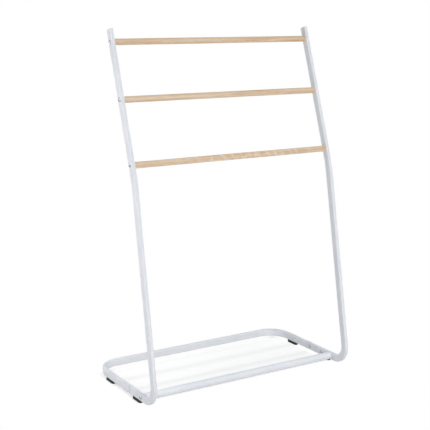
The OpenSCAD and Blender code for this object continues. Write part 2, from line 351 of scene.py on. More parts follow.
@dataclass(frozen=True)
class Ripple:
    """Slanted pale ripples in the wood: full on the middle of the lowest rail, and faint elsewhere; their
    fading at the rails' right ends is painted shade beside the right upright.
    """

    colour: Triple = (238, 226, 208)
    waves: Waves = Waves("X", 12.0, warp=11.0, fine_scale=2.4, turn=(0.0, 0.7, 0.0))
    crests: Pair = (0.4, 1.0)
    # Along an axis, where the ripples change and from what share to what share
    fades: tuple[tuple[str, Pair, Pair], ...] = (
        ("Z", (0.62, 0.7), (1.0, 0.12)),
        ("X", (-0.16, -0.02), (0.35, 1.0)),
        # Painted shade: the pale ripples fade towards the rails' right ends, so those ends are darker beside
        # the right upright
        ("X", (0.2, 0.28), (1.0, 0.2)),
    )
    strength: float = 0.46

    def lay(self, sheet: FinishSheet, board: Socket) -> Socket:
        """Lays the ripples over the board.

        Args:
            sheet: The material under way.
            board: The wood's colour so far.

        Returns:
            The colour with its ripples.
        """
        apart = sheet.add("ShaderNodeSeparateXYZ", {0: sheet.place})
        share = sheet.spread(sheet.banded(self.waves), (0.0, 1.0), self.crests)
        for axis, span, reach in self.fades:
            share = sheet.calc("MULTIPLY", share, sheet.spread(apart.outputs[axis], reach, span))
        return sheet.tint(board, sheet.spread(share, (0.0, self.strength), (0.0, 1.0)), self.colour)


@dataclass(frozen=True)
class Beech:
    """Pale lacquered beech: long streaks, soft year rings, and short darker flecks along the grain."""

    light: Triple = (229, 212, 189)
    middle: Triple = (220, 195, 166)
    dark: Triple = (209, 166, 124)
    fleck: Triple = (184, 146, 110)
    tone_places: Triple = (0.34, 0.48, 0.62)
    streaks: Grain = Grain(
        detail=5.0, rough=0.62, warp=0.35, stretch=(5.0, 130.0, 130.0), shift=BOARD_PLACE
    )
    rings: Waves = Waves(
        "Z", 1.0, warp=5.5, fine_scale=1.4, stretch=(3.0, 70.0, 120.0), turn=(0.35, 0.0, 0.0),
        shift=BOARD_PLACE,
    )
    ring_shares: Pair = (0.0, 0.3)
    flecks: Grain = Grain(stretch=(70.0, 1500.0, 1500.0))
    fleck_shares: Pair = (0.0, 0.5)
    fleck_span: Pair = (0.6, 0.74)
    pore_relief: Pair = (0.14, 0.05 * MM)
    streak_relief: Pair = (0.12, 0.1 * MM)
    rough: Pair = (0.5, 0.62)
    gloss: float = 0.35
    ripple: Ripple = Ripple()

    def build(self) -> bpy.types.Material:
        """Makes the finish; the grain runs along X.

        Returns:
            Its material.
        """
        sheet = FinishSheet("pale_wood_finish")
        streaks, flecks = sheet.noise(self.streaks), sheet.noise(self.flecks)
        board = sheet.ramp(streaks, *zip(self.tone_places, (self.dark, self.middle, self.light)))
        ring_share = sheet.spread(sheet.banded(self.rings), self.ring_shares, (0.0, 1.0))
        rippled = self.ripple.lay(sheet, sheet.tint(board, ring_share, self.dark))
        fleck_share = sheet.spread(flecks, self.fleck_shares, self.fleck_span)
        return sheet.wear(
            Base_Color=sheet.tint(rippled, fleck_share, self.fleck),
            Roughness=sheet.spread(streaks, self.rough),
            Normal=sheet.bump(streaks, self.streak_relief, sheet.bump(flecks, self.pore_relief)),
            Specular_IOR_Level=self.gloss,
        )


@dataclass(frozen=True)
class Zinc:
    """Zinc-plated steel with a faint cloudy bloom and fine turning marks."""

    name: str = "bolt_steel_finish"
    colour: Triple = (193, 195, 199)
    bloom: Triple = (160, 163, 168)
    rough: Pair = (0.2, 0.32)
    cloud: Grain = Grain(420.0, detail=3.0)
    marks: Grain = Grain(detail=1.0, stretch=(900.0, 4200.0, 4200.0))
    marks_relief: Pair = (0.12, 0.02 * MM)
    metal: float = 0.9

    def build(self) -> bpy.types.Material:
        """Makes the finish.

        Returns:
            Its material.
        """
        sheet = FinishSheet(self.name)
        cloud = sheet.noise(self.cloud)
        return sheet.wear(
            Base_Color=sheet.two_tone(cloud, self.bloom, self.colour),
            Metallic=self.metal,
            Roughness=sheet.spread(cloud, self.rough),
            Normal=sheet.bump(sheet.noise(self.marks), self.marks_relief),
        )


@dataclass(frozen=True)
class MouldedPlastic:
    """White moulded plastic with a fine spark-eroded skin."""

    colour: Triple = (228, 230, 233)
    shade: Triple = (220, 222, 226)
    skin: Grain = Grain(3000.0)
    drift: Grain = Grain(60.0)
    skin_relief: Pair = (0.2, 0.02 * MM)
    rough: Pair = (0.44, 0.56)

    def build(self) -> bpy.types.Material:
        """Makes the finish.

        Returns:
            Its material.
        """
        sheet = FinishSheet("white_plastic_finish")
        skin = sheet.noise(self.skin)
        return sheet.wear(
            Base_Color=sheet.two_tone(sheet.noise(self.drift), self.shade, self.colour),
            Roughness=sheet.spread(skin, self.rough),
            Normal=sheet.bump(skin, self.skin_relief),
        )


@dataclass(frozen=True)
class PadRubber:
    """Black rubber with a dusty bloom and a fine grain."""

    colour: Triple = (22, 22, 23)
    dust: Triple = (38, 38, 39)
    dust_span: Pair = (0.4, 0.75)
    grain: Grain = Grain(1800.0)
    cloud: Grain = Grain(140.0, detail=3.0)
    grain_relief: Pair = (0.25, 0.04 * MM)
    rough: Pair = (0.62, 0.8)
    gloss: float = 0.35

    def build(self) -> bpy.types.Material:
        """Makes the finish.

        Returns:
            Its material.
        """
        sheet = FinishSheet("black_rubber_finish")
        cloud = sheet.noise(self.cloud)
        return sheet.wear(
            Base_Color=sheet.two_tone(cloud, self.colour, self.dust, self.dust_span),
            Roughness=sheet.spread(cloud, self.rough),
            Normal=sheet.bump(sheet.noise(self.grain), self.grain_relief),
            Specular_IOR_Level=self.gloss,
        )


FINISHES: dict[Slot, PowderCoat | Beech | Zinc | MouldedPlastic | PadRubber] = {
    Slot.POWDER: PowderCoat(),
    Slot.WOOD: Beech(),
    Slot.BOLT: Zinc(),
    Slot.INNER: Zinc("inner_steel_finish", (140, 142, 146), (112, 115, 120), (0.38, 0.52)),
    Slot.PLASTIC: MouldedPlastic(),
    Slot.RUBBER: PadRubber(),
}


# ---- outlines and meshes ----


def arc(middle: Triple, radius: float, start: float, sweep: float, steps: int) -> list[Vector]:
    """Gives points on a level arc, its two ends among them.

    Args:
        middle: The arc's centre.
        radius: Its radius.
        start: The angle of its first point, in radians.
        sweep: The angle that it covers, in radians.
        steps: Number of steps along it.

    Returns:
        The points, at the centre's height.
    """
    x, y, z = middle
    turns = [start + sweep * step / steps for step in range(steps + 1)]
    return [Vector((x + radius * math.cos(t), y + radius * math.sin(t), z)) for t in turns]


def round_ring(radius: float, height: float, steps: int) -> list[Vector]:
    """Gives a closed level ring of points about Z."""
    return arc((0.0, 0.0, height), radius, 0.0, 2 * math.pi, steps)[:-1]


def rounded_edge(radius: float, end: float, edge: float) -> list[Pair]:
    """Gives a turned part's rounded edge, from end face to side, as three pairs of radius and place."""
    middle = EDGE_MIDDLE * edge
    return [(radius - edge, end), (radius - middle, end - middle), (radius, end - edge)]


def both_ends(half: Sequence[Pair]) -> list[Pair]:
    """Completes a profile that is the same towards both ends of its axis."""
    return [(radius, -place) for radius, place in half] + list(reversed(half))


def quarter_round(size: float, steps: int) -> list[Pair]:
    """Gives a quarter round as pairs of inset and rise, from a side to the face above it."""
    turns = [RIGHT_ANGLE * step / steps for step in range(steps + 1)]
    return [(size * (1 - math.cos(turn)), size * math.sin(turn)) for turn in turns]


@dataclass(frozen=True)
class Rounded:
    """A rectangle with round corners, its thin side along X and its deep side along Y."""

    thin: float
    deep: float
    corner: float
    least_corner: float = 0.1 * MM
    steps: int = 5

    def ring(self, inset: float, height: float) -> list[Vector]:
        """Gives the outline's points, anticlockwise.

        Args:
            inset: How far the outline lies inside the full size.
            height: The outline's height.

        Returns:
            The points.
        """
        radius = max(self.corner - inset, self.least_corner)
        x, y = self.thin / 2 - inset - radius, self.deep / 2 - inset - radius
        points = []
        for quarter, corner in enumerate(((x, y), (-x, y), (-x, -y), (x, -y))):
            points += arc((*corner, height), radius, RIGHT_ANGLE * quarter, RIGHT_ANGLE, self.steps)
        return points


@dataclass(frozen=True)
class Stadium:
    """A long rectangle with half-round ends, its length along Y."""

    width: float
    length: float
    steps: int = 16

    def ring(self, inset: float, height: float) -> list[Vector]:
        """Gives the outline's points, anticlockwise.

        Args:
            inset: How far the outline lies inside the full size.
            height: The outline's height.

        Returns:
            The points.
        """
        radius, reach = self.width / 2 - inset, (self.length - self.width) / 2
        rear = arc((0.0, reach, height), radius, 0.0, math.pi, self.steps)
        return rear + arc((0.0, -reach, height), radius, math.pi, math.pi, self.steps)


def baked(obj: bpy.types.Object, name: str) -> Mesh:
    """Turns an object with its modifiers into a plain mesh.

    Args:
        obj: The object.
        name: The mesh's name.

    Returns:
        The mesh.
    """
    bpy.context.view_layer.update()
    graph = bpy.context.evaluated_depsgraph_get()
    mesh = bpy.data.meshes.new_from_object(obj.evaluated_get(graph), depsgraph=graph)
    mesh.name = name
    return mesh


class MeshWork:
    """Ways of making plain meshes."""

    @staticmethod
    def fill(work: bmesh.types.BMesh, rows: Sequence[Sequence[bmesh.types.BMVert]]) -> None:
        """Joins each closed row of points to the next; equal points close to a triangle.

        Args:
            work: The mesh under way.
            rows: The rows, of equal count.
        """
        for low, high in zip(rows, rows[1:]):
            for i, corner in enumerate(low):
                after = (i + 1) % len(low)
                corners = dict.fromkeys((corner, low[after], high[after], high[i]))
                work.faces.new(list(corners))

    @staticmethod
    def loft(rings: Sequence[Sequence[Vector]], name: str, tip: Vector | None = None) -> Mesh:
        """Skins rings of equal count, with a flat face at each end.

        Args:
            rings: The rings, each a closed run of points.
            name: The mesh's name.
            tip: A point that the last ring closes to, in place of its flat face.

        Returns:
            A closed mesh with outward faces.
        """
        work = bmesh.new()
        rows = [[work.verts.new(point) for point in ring] for ring in rings]
        ends = [rows[0][::-1]]
        if tip is None:
            ends.append(rows[-1])
        else:
            rows.append([work.verts.new(tip)] * len(rows[0]))
        MeshWork.fill(work, rows)
        for end in ends:
            work.faces.new(end)
        return MeshWork.close(work, name)

    @staticmethod
    def lathe(profile: Sequence[Pair], name: str, steps: int, loop: bool = False) -> Mesh:
        """Turns a profile about Z.

        Args:
            profile: Pairs of radius and height; a radius of 0 closes to a point.
            name: The mesh's name.
            steps: Number of steps round the axis.
            loop: True if the profile's last point joins its first.

        Returns:
            A closed mesh with outward faces.
        """
        work = bmesh.new()
        rows = []
        for radius, height in profile:
            if radius == 0:
                rows.append([work.verts.new((0, 0, height))] * steps)
            else:
                rows.append([work.verts.new(point) for point in round_ring(radius, height, steps)])
        MeshWork.fill(work, rows + rows[:1] if loop else rows)
        return MeshWork.close(work, name)

    @staticmethod
    def close(work: bmesh.types.BMesh, name: str) -> Mesh:
        """Points the faces outwards and turns the work into a smooth mesh.

        Args:
            work: The mesh under way; it is freed.
            name: The mesh's name.

        Returns:
            The mesh.
        """
        bmesh.ops.recalc_face_normals(work, faces=work.faces)
        mesh = bpy.data.meshes.new(name)
        work.to_mesh(mesh)
        work.free()
        return MeshWork.smooth(mesh)

    @staticmethod
    def smooth(mesh: Mesh) -> Mesh:
        """Shades a mesh smooth, but keeps its sharp edges.

        Args:
            mesh: The mesh.

        Returns:
            The same mesh.
        """
        mesh.shade_smooth()
        mesh.set_sharp_from_angle(angle=SHARP_EDGE)
        return mesh

    @staticmethod
    def joined(parts: Sequence[Mesh], name: str) -> Mesh:
        """Puts several closed meshes into one.

        Args:
            parts: The meshes.
            name: The result's name.

        Returns:
            The new mesh.
        """
        work = bmesh.new()
        for part in parts:
            work.from_mesh(part)
        return MeshWork.close(work, name)

    @staticmethod
    def cut(mesh: Mesh, cutter: Mesh, name: str) -> Mesh:
        """Takes one closed mesh out of another.

        Args:
            mesh: The mesh that is kept.
            cutter: The mesh that is taken out of it.
            name: The result's name.

        Returns:
            The difference.
        """
        body, tool = bpy.data.objects.new(name, mesh), bpy.data.objects.new(name + "_cutter", cutter)
        for obj in (body, tool):
            bpy.context.scene.collection.objects.link(obj)
        step = body.modifiers.new("cut", "BOOLEAN")
        step.operation, step.solver, step.object = "DIFFERENCE", "EXACT", tool
        result = baked(body, name)
        for obj in (body, tool):
            bpy.data.objects.remove(obj)
        return MeshWork.smooth(result)


# ---- geometry recipes ----


class Recipe(NodeSheet):
    """A Geometry Nodes tree with named inputs, and how it is run."""

    # What the start meshes carry for a tree, and a finished mesh does without
    carried: tuple[str, ...] = ("bend_radius", "section_scale", "axis", "turn")

    def __init__(self, name: str, inputs: dict[str, str]) -> None:
        """Starts a tree.

        Args:
            name: The tree's name.
            inputs: The input sockets' types by name, without their "NodeSocket" prefix.
        """
        super().__init__(bpy.data.node_groups.new(name, "GeometryNodeTree"))
        face = self.tree.interface
        face.new_socket("Geometry", in_out="INPUT", socket_type="NodeSocketGeometry")
        self.keys = {
            word: face.new_socket(word, in_out="INPUT", socket_type="NodeSocket" + kind).identifier
            for word, kind in inputs.items()
        }
        face.new_socket("Geometry", in_out="OUTPUT", socket_type="NodeSocketGeometry")
        self.source = self.tree.nodes.new("NodeGroupInput")

    def given(self, word: str) -> Socket:
        """Gives an input of the tree, by name."""
        return self.source.outputs[word]

    def field(self, word: str, kind: str = "FLOAT") -> Socket:
        """Gives an attribute of the points, by name and data type."""
        return self.out("Attribute", "GeometryNodeInputNamedAttribute", {"Name": word}, data_type=kind)

    def finish(self, shape: Socket) -> None:
        """Ends the tree in real geometry with the material from its Finish input.

        Args:
            shape: The geometry so far.
        """
        real = self.out("Geometry", "GeometryNodeRealizeInstances", {"Geometry": shape})
        given = {"Geometry": real, "Material": self.given("Finish")}
        self.add("NodeGroupOutput", {"Geometry": self.out("Geometry", "GeometryNodeSetMaterial", given)})

    def run(self, start: Mesh, name: str, values: dict[str, object]) -> Mesh:
        """Runs the tree on a start mesh.

        Args:
            start: The mesh that the tree reads.
            name: The result's name.
            values: The tree's inputs by name.

        Returns:
            The result as a plain, smooth mesh.
        """
        carrier = bpy.data.objects.new(name + "_start", start)
        step = carrier.modifiers.new("recipe", "NODES")
        step.node_group = self.tree
        for word, value in values.items():
            step[self.keys[word]] = value
        bpy.context.scene.collection.objects.link(carrier)
        mesh = baked(carrier, name)
        bpy.data.objects.remove(carrier)
        for word in self.carried:
            if word in mesh.attributes:
                mesh.attributes.remove(mesh.attributes[word])
        return MeshWork.smooth(mesh)


class TubeRecipe(Recipe):
    """Sweeps a rounded section along a line whose corners are bent to the radius each point carries."""

    def __init__(self) -> None:
        """Builds the tree."""
        super().__init__(
            "bent_flat_tube",
            {
                "Across": "Float", "In Plane": "Float", "Corner": "Float", "Corner Steps": "Int",
                "Bend Steps": "Int", "Bend Axis": "Vector", "Finish": "Material",
            },
        )
        line = self.out("Curve", "GeometryNodeMeshToCurve", {"Mesh": self.given("Geometry")})
        bends = {"Curve": line, "Count": self.given("Bend Steps"), "Radius": self.field("bend_radius")}
        bent = self.out("Curve", "GeometryNodeFilletCurve", bends, mode="POLY")
        aim = {"Curve": bent, "Normal": self.given("Bend Axis")}
        steady = self.out("Curve", "GeometryNodeSetCurveNormal", aim, mode="FREE")
        scales = {"Curve": steady, "Radius": self.field("section_scale")}
        path = self.out("Curve", "GeometryNodeSetCurveRadius", scales)
        sides = {"Width": self.given("Across"), "Height": self.given("In Plane")}
        box = self.out("Curve", "GeometryNodeCurvePrimitiveQuadrilateral", sides, mode="RECTANGLE")
        corners = {"Curve": box, "Count": self.given("Corner Steps"), "Radius": self.given("Corner")}
        section = self.out("Curve", "GeometryNodeFilletCurve", corners, mode="POLY")
        swept = {"Curve": path, "Profile Curve": section, "Fill Caps": True}
        self.finish(self.out("Mesh", "GeometryNodeCurveToMesh", swept))


class BoltRecipe(Recipe):
    """Sets one bolt on every point, its head along the axis, and turned as far, as the point says."""

    def __init__(self) -> None:
        """Builds the tree."""
        super().__init__("bolts_on_points", {"Bolt": "Object", "Finish": "Material"})
        way = {"Vector": self.field("axis", "FLOAT_VECTOR")}
        placed = {
            "Points": self.given("Geometry"),
            "Instance": self.out("Geometry", "GeometryNodeObjectInfo", {"Object": self.given("Bolt")}),
            "Rotation": self.out("Rotation", "FunctionNodeAlignRotationToVector", way, axis="Z"),
        }
        turned = {
            "Instances": self.out("Instances", "GeometryNodeInstanceOnPoints", placed),
            "Rotation": self.out("Vector", "ShaderNodeCombineXYZ", {"Z": self.field("turn")}),
            "Local Space": True,
        }
        self.finish(self.out("Instances", "GeometryNodeRotateInstances", turned))


# ---- the workshop ----


class Workshop:
    """Holds the finishes and hands finished pieces over to the frame."""

    def __init__(self) -> None:
        """Makes every finish once."""
        self.finishes = {slot: finish.build() for slot, finish in FINISHES.items()}

    def deliver(self, mesh: Mesh, slot: Slot, node: str) -> None:
        """Turns a mesh into a piece, named as the mesh is, that stands for a CAD node.

        Args:
            mesh: The piece's mesh, in place.
            slot: Its material slot.
            node: The CAD node that it stands for.
        """
        mesh.materials.clear()
        mesh.materials.append(self.finishes[slot])
        piece = bpy.data.objects.new(mesh.name, mesh)
        bpy.context.scene.collection.objects.link(piece)
        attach(piece, BODY)
        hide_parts(node)
        log.info("piece %s: %d faces, for %s", piece.name, len(mesh.polygons), node)

    def dress(self, node: str, slot: Slot) -> None:
        """Gives a kept CAD node its finish.

        Args:
            node: The CAD node.
            slot: The material slot whose finish it gets.
        """
        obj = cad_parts[node]
        if not obj.material_slots:
            obj.data.materials.append(self.finishes[slot])
        for place in obj.material_slots:
            place.material = self.finishes[slot]
        log.info("kept node %s in %s", node, slot.value)


# ---- sub-assemblies ----


def middle_of(node: str) -> Vector:
    """Gives the middle of a CAD node's box."""
    low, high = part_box(node)
    return (low + high) / 2


def laid_along_x(mesh: Mesh, middle: Vector) -> Mesh:
    """Lays a mesh that was turned about Z along X, moves its origin to the middle, and gives it back."""
    mesh.transform(Matrix.Translation(middle) @ Matrix.Rotation(RIGHT_ANGLE, 4, "Y"))
    return mesh


@dataclass
class TubeFrame:
    """The two uprights, the rear hoop and the front crossbar."""

    thin: float = 10 * MM
    deep: float = 20 * MM
    corner: float = 2.5 * MM
    lower_lean: float = math.radians(10)
    upper_lean: float = math.radians(18.5)
    foot_bend_r: float = 40 * MM
    gentle_bend_r: float = 240 * MM
    hoop_bend_r: float = 60 * MM
    bend_under_rail: float = 43 * MM
    cap_t: float = 2 * MM
    crossbar_wall: float = 1.2 * MM
    end_edge: float = 0.6 * MM
    seam_gap: float = 1.4 * MM
    corner_steps: int = 6
    bend_steps: int = 28
    crossbar_steps: int = 72
    recipe: TubeRecipe = field(default_factory=TubeRecipe)

    def __post_init__(self) -> None:
        """Reads the places that the CAD gives."""
        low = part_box("left_upright")[0]
        self.front_y = low.y
        self.side_x = -low.x - self.thin / 2
        self.base_z = low.z + self.deep / 2
        self.seam_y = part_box("rear_hoop")[0].y
        self.rear_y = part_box("rear_hoop")[1].y - self.thin / 2
        self.top_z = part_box("left_end_plug")[1].z
        self.bend_z = middle_of("lower_rail").z - self.bend_under_rail

    @property
    def corner_y(self) -> float:
        """Where the base run's line meets the lower leg's."""
        turn = RIGHT_ANGLE + self.lower_lean
        return self.front_y + self.deep / 2 + self.foot_bend_r - self.foot_bend_r * math.tan(turn / 2)

    @property
    def bend_y(self) -> float:
        """Where the lower leg's line meets the upper leg's."""
        return self.corner_y + (self.bend_z - self.base_z) * math.tan(self.lower_lean)

    def cut_end(self) -> Pair:
        """Finds the middle of the cut end.

        Returns:
            Its Y and Z.
        """
        lean = self.upper_lean
        end_z = self.top_z - self.cap_t * math.cos(lean) - self.deep / 2 * math.sin(lean)
        return self.bend_y + (end_z - self.bend_z) * math.tan(lean), end_z

    def line(self, points: Sequence[tuple[Vector, float]], name: str) -> Mesh:
        """Makes the line that a tube follows; the section is drawn in at both cut ends.

        Args:
            points: Corners, each with the radius that it is bent to.
            name: The mesh's name.

        Returns:
            A mesh of points and edges that carries bend_radius and section_scale.
        """
        places = [place for place, _ in points]
        radii = [radius for _, radius in points]
        for end, beside, spot in ((0, 1, 1), (-1, -2, -1)):
            inwards = (places[beside] - places[end]).normalized()
            places.insert(spot, places[end] + inwards * self.end_edge)
            radii.insert(spot, 0.0)
        end_scale = 1 - 2 * self.end_edge / self.thin
        scales = [end_scale] + [1.0] * len(points) + [end_scale]
        mesh = bpy.data.meshes.new(name)
        mesh.from_pydata(places, [(i, i + 1) for i in range(len(places) - 1)], [])
        for word, values in (("bend_radius", radii), ("section_scale", scales)):
            mesh.attributes.new(word, "FLOAT", "POINT").data.foreach_set("value", values)
        return mesh

    def sweep(
        self, shop: Workshop, node: str, points: Sequence[tuple[Vector, float]], axis: Vector, across: float
    ) -> None:
        """Makes one tube and hands it over.

        Args:
            shop: The workshop.
            node: The CAD node that it stands for.
            points: Corners, each with its bend radius.
            axis: The axis that every bend turns about.
            across: The section's size along that axis.
        """
        values = {
            "Across": across, "In Plane": self.thin + self.deep - across, "Corner": self.corner,
            "Corner Steps": self.corner_steps, "Bend Steps": self.bend_steps, "Bend Axis": axis,
            "Finish": shop.finishes[Slot.POWDER],
        }
        mesh = self.recipe.run(self.line(points, node + "_line"), node + "_tube", values)
        shop.deliver(mesh, Slot.POWDER, node)

    def build(self, shop: Workshop) -> None:
        """Builds the four tubes.

        Args:
            shop: The workshop.
        """
        end_y, end_z = self.cut_end()
        leg_end, hoop_end = self.seam_y - self.seam_gap / 2, self.seam_y + self.seam_gap / 2
        for side in Side:
            path = (
                (leg_end, self.base_z, 0.0),
                (self.corner_y, self.base_z, self.foot_bend_r),
                (self.bend_y, self.bend_z, self.gentle_bend_r),
                (end_y, end_z, 0.0),
            )
            points = [(Vector((side.value * self.side_x, y, z)), radius) for y, z, radius in path]
            self.sweep(shop, side.word + "_upright", points, Vector((1, 0, 0)), self.thin)
        path = (
            (-1, hoop_end, 0.0), (-1, self.rear_y, self.hoop_bend_r),
            (1, self.rear_y, self.hoop_bend_r), (1, hoop_end, 0.0),
        )
        points = [(Vector((way * self.side_x, y, self.base_z)), radius) for way, y, radius in path]
        self.sweep(shop, "rear_hoop", points, Vector((0, 0, 1)), self.deep)
        self.crossbar(shop)

    def crossbar(self, shop: Workshop) -> None:
        """Builds the round tube between the side runs.

        Args:
            shop: The workshop.
        """
        node = "front_crossbar"
        low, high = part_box(node)
        radius, reach = (high.z - low.z) / 2, high.x
        half = [(radius - self.crossbar_wall, reach), *rounded_edge(radius, reach, self.end_edge)]
        mesh = MeshWork.lathe(both_ends(half), node + "_tube", self.crossbar_steps, loop=True)
        shop.deliver(laid_along_x(mesh, middle_of(node)), Slot.POWDER, node)


@dataclass
class WoodenRails:
    """The three dowels, each with a bore in both ends for its insert."""

    bore_r: float = 4.95 * MM
    bore_depth: float = 22 * MM
    edge: float = 0.6 * MM
    steps: int = 80

    def build(self, shop: Workshop) -> None:
        """Turns each dowel and hands it over.

        Args:
            shop: The workshop.
        """
        for node in RAILS:
            low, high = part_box(node)
            radius, reach = (high.z - low.z) / 2, high.x
            bottom = reach - self.bore_depth
            bore = [(0, bottom), (self.bore_r, bottom), (self.bore_r, reach)]
            profile = both_ends(bore + rounded_edge(radius, reach, self.edge))
            mesh = MeshWork.lathe(profile, node + "_dowel", self.steps)
            shop.deliver(laid_along_x(mesh, middle_of(node)), Slot.WOOD, node)


@dataclass
class Fasteners:
    """The button-head bolts and screws, set out in rows."""

    head_d: float = 10.5 * MM
    head_h: float = 3.3 * MM
    head_edge: float = 0.3 * MM
    rim_h: float = 0.8 * MM
    shank_d: float = 6 * MM
    tip_share: float = 0.1
    socket_af: float = 4 * MM
    socket_depth: float = 2 * MM
    socket_entry: float = 0.35 * MM
    drill_point: float = 0.5 * MM
    bolt_shank: float = 26 * MM
    screw_shank: float = 7.5 * MM
    screw_reach: float = 27 * MM
    first_turn: float = math.radians(17)
    next_turn: float = math.radians(23)
    steps: int = 48
    dome_steps: int = 8
    recipe: BoltRecipe = field(default_factory=BoltRecipe)

    def socket_ring(self, height: float) -> list[Vector]:
        """Gives one ring of the hexagonal socket, with as many points as a round ring has.

        Args:
            height: The ring's height.

        Returns:
            The points.
        """
        ring = []
        for step in range(self.steps):
            turn = 2 * math.pi * step / self.steps
            radius = self.socket_af / 2 / math.cos(turn % HEX_ANGLE - HEX_ANGLE / 2)
            ring.append(Vector((radius * math.cos(turn), radius * math.sin(turn), height)))
        return ring

    def bolt(self, shank: float, name: str) -> bpy.types.Object:
        """Makes one bolt, its head on the plane Z = 0 and its shank below.

        Args:
            shank: The shank's length.
            name: The bolt's name.

        Returns:
            The bolt as an object that the recipe sets out.
        """
        head_r, shank_r, tip = self.head_d / 2, self.shank_d / 2, self.shank_d * self.tip_share
        rise = self.head_h - self.rim_h
        dome_r = (rise**2 + head_r**2) / (2 * rise)
        dome_z = self.head_h - dome_r
        entry_r = self.socket_af / 2 / math.cos(HEX_ANGLE / 2) + self.socket_entry
        start, stop = math.asin(head_r / dome_r), math.asin(entry_r / dome_r)
        profile = [
            (shank_r - tip, -shank), (shank_r, tip - shank), (shank_r, 0.0),
            (head_r - self.head_edge, 0.0), (head_r, self.head_edge),
        ]
        for step in range(self.dome_steps + 1):
            turn = start + (stop - start) * step / self.dome_steps
            profile.append((dome_r * math.sin(turn), dome_z + dome_r * math.cos(turn)))
        rings = [round_ring(radius, height, self.steps) for radius, height in profile]
        entry_z, bottom = profile[-1][1] - self.socket_entry, self.head_h - self.socket_depth
        rings += [self.socket_ring(entry_z), self.socket_ring(bottom)]
        mesh = MeshWork.loft(rings, name, Vector((0, 0, bottom - self.drill_point)))
        return bpy.data.objects.new(name, mesh)

    @staticmethod
    def spots(side: Side, reach: float, places: Sequence[Vector], way: int) -> list[tuple[Vector, Vector]]:
        """Gives one side's seats, each with its head's facing: outwards for a way of 1, inwards for -1."""
        facing = Vector((side.value * way, 0, 0))
        return [(Vector((side.value * reach, place.y, place.z)), facing) for place in places]

    def row(
        self, shop: Workshop, node: str, bolt: bpy.types.Object, spots: Sequence[tuple[Vector, Vector]]
    ) -> None:
        """Sets one bolt on each spot and hands the row over.

        Args:
            shop: The workshop.
            node: The CAD node that the row stands for.
            bolt: The bolt.
            spots: Pairs of the head's seat and the way that the head faces.
        """
        mesh = bpy.data.meshes.new(node + "_spots")
        mesh.from_pydata([seat for seat, _ in spots], [], [])
        facings = [number for _, facing in spots for number in facing]
        mesh.attributes.new("axis", "FLOAT_VECTOR", "POINT").data.foreach_set("vector", facings)
        turns = [self.first_turn + self.next_turn * i for i in range(len(spots))]
        mesh.attributes.new("turn", "FLOAT", "POINT").data.foreach_set("value", turns)
        made = self.recipe.run(mesh, node + "_set", {"Bolt": bolt, "Finish": shop.finishes[Slot.BOLT]})
        shop.deliver(made, Slot.BOLT, node)

    def build(self, shop: Workshop, tubes: TubeFrame) -> None:
        """Sets out every row.

        Args:
            shop: The workshop.
            tubes: The frame that the bolts go through.
        """
        bolt, screw = self.bolt(self.bolt_shank, "frame_bolt"), self.bolt(self.screw_shank, "seam_screw")
        for obj in (bolt, screw):
            bpy.context.scene.collection.objects.link(obj)
        outer, inner = tubes.side_x + tubes.thin / 2, tubes.side_x - tubes.thin / 2
        rails, bar = [middle_of(rail) for rail in RAILS], middle_of("front_crossbar")
        seams = [Vector((0, tubes.seam_y + way * self.screw_reach, tubes.base_z)) for way in (-1, 1)]
        for side in Side:
            self.row(shop, side.word + "_rail_bolts", bolt, self.spots(side, outer, rails, 1))
            self.row(shop, side.word + "_joint_screws", screw, self.spots(side, inner, seams, -1))
        bar_spots = [spot for side in Side for spot in self.spots(side, outer, [bar], 1)]
        self.row(shop, "crossbar_bolts", bolt, bar_spots)
        for obj in (bolt, screw):
            bpy.data.objects.remove(obj)


@dataclass
class EndPlugs:
    """The plugs that close the uprights' cut ends, each with a bevelled cap and a finned stem."""

    bevel: float = 0.8 * MM
    bevel_steps: int = 5
    wall: float = 1.2 * MM
    play: float = 0.2 * MM
    stem_len: float = 14 * MM
    stem_wall: float = 1.2 * MM
    stem_roof: float = 2 * MM
    fin_t: float = 1 * MM
    fin_places: Pair = (0.25, 0.65)
    rim: float = 0.25 * MM
    crown: float = 0.15 * MM
    crown_inset: float = 1.2 * MM

    def build(self, shop: Workshop, tubes: TubeFrame) -> None:
        """Builds both plugs.

        Args:
            shop: The workshop.
            tubes: The frame that they close.
        """
        bore = self.wall + self.play
        hollow = bore + self.stem_wall
        rings = [(hollow, -self.stem_roof), (hollow, -self.stem_len), (bore, -self.stem_len)]
        for share in self.fin_places:
            low = -self.stem_len * (1 - share)
            rings += [(bore, low), (self.wall, low), (self.wall, low + self.fin_t), (bore, low + self.fin_t)]
        rings += [(bore, 0.0), (self.rim, 0.0), (0.0, self.rim)]
        side_top = tubes.cap_t - self.bevel - self.crown
        rings += [(inset, side_top + rise) for inset, rise in quarter_round(self.bevel, self.bevel_steps)]
        rings.append((self.bevel + self.crown_inset, tubes.cap_t))
        outline = Rounded(tubes.thin, tubes.deep, tubes.corner)
        lean = Matrix.Rotation(-tubes.upper_lean, 4, "X")
        for side in Side:
            node = side.word + "_end_plug"
            mesh = MeshWork.loft([outline.ring(inset, height) for inset, height in rings], node + "_cap")
            mesh.transform(Matrix.Translation((side.value * tubes.side_x, *tubes.cut_end())) @ lean)
            shop.deliver(mesh, Slot.PLASTIC, node)


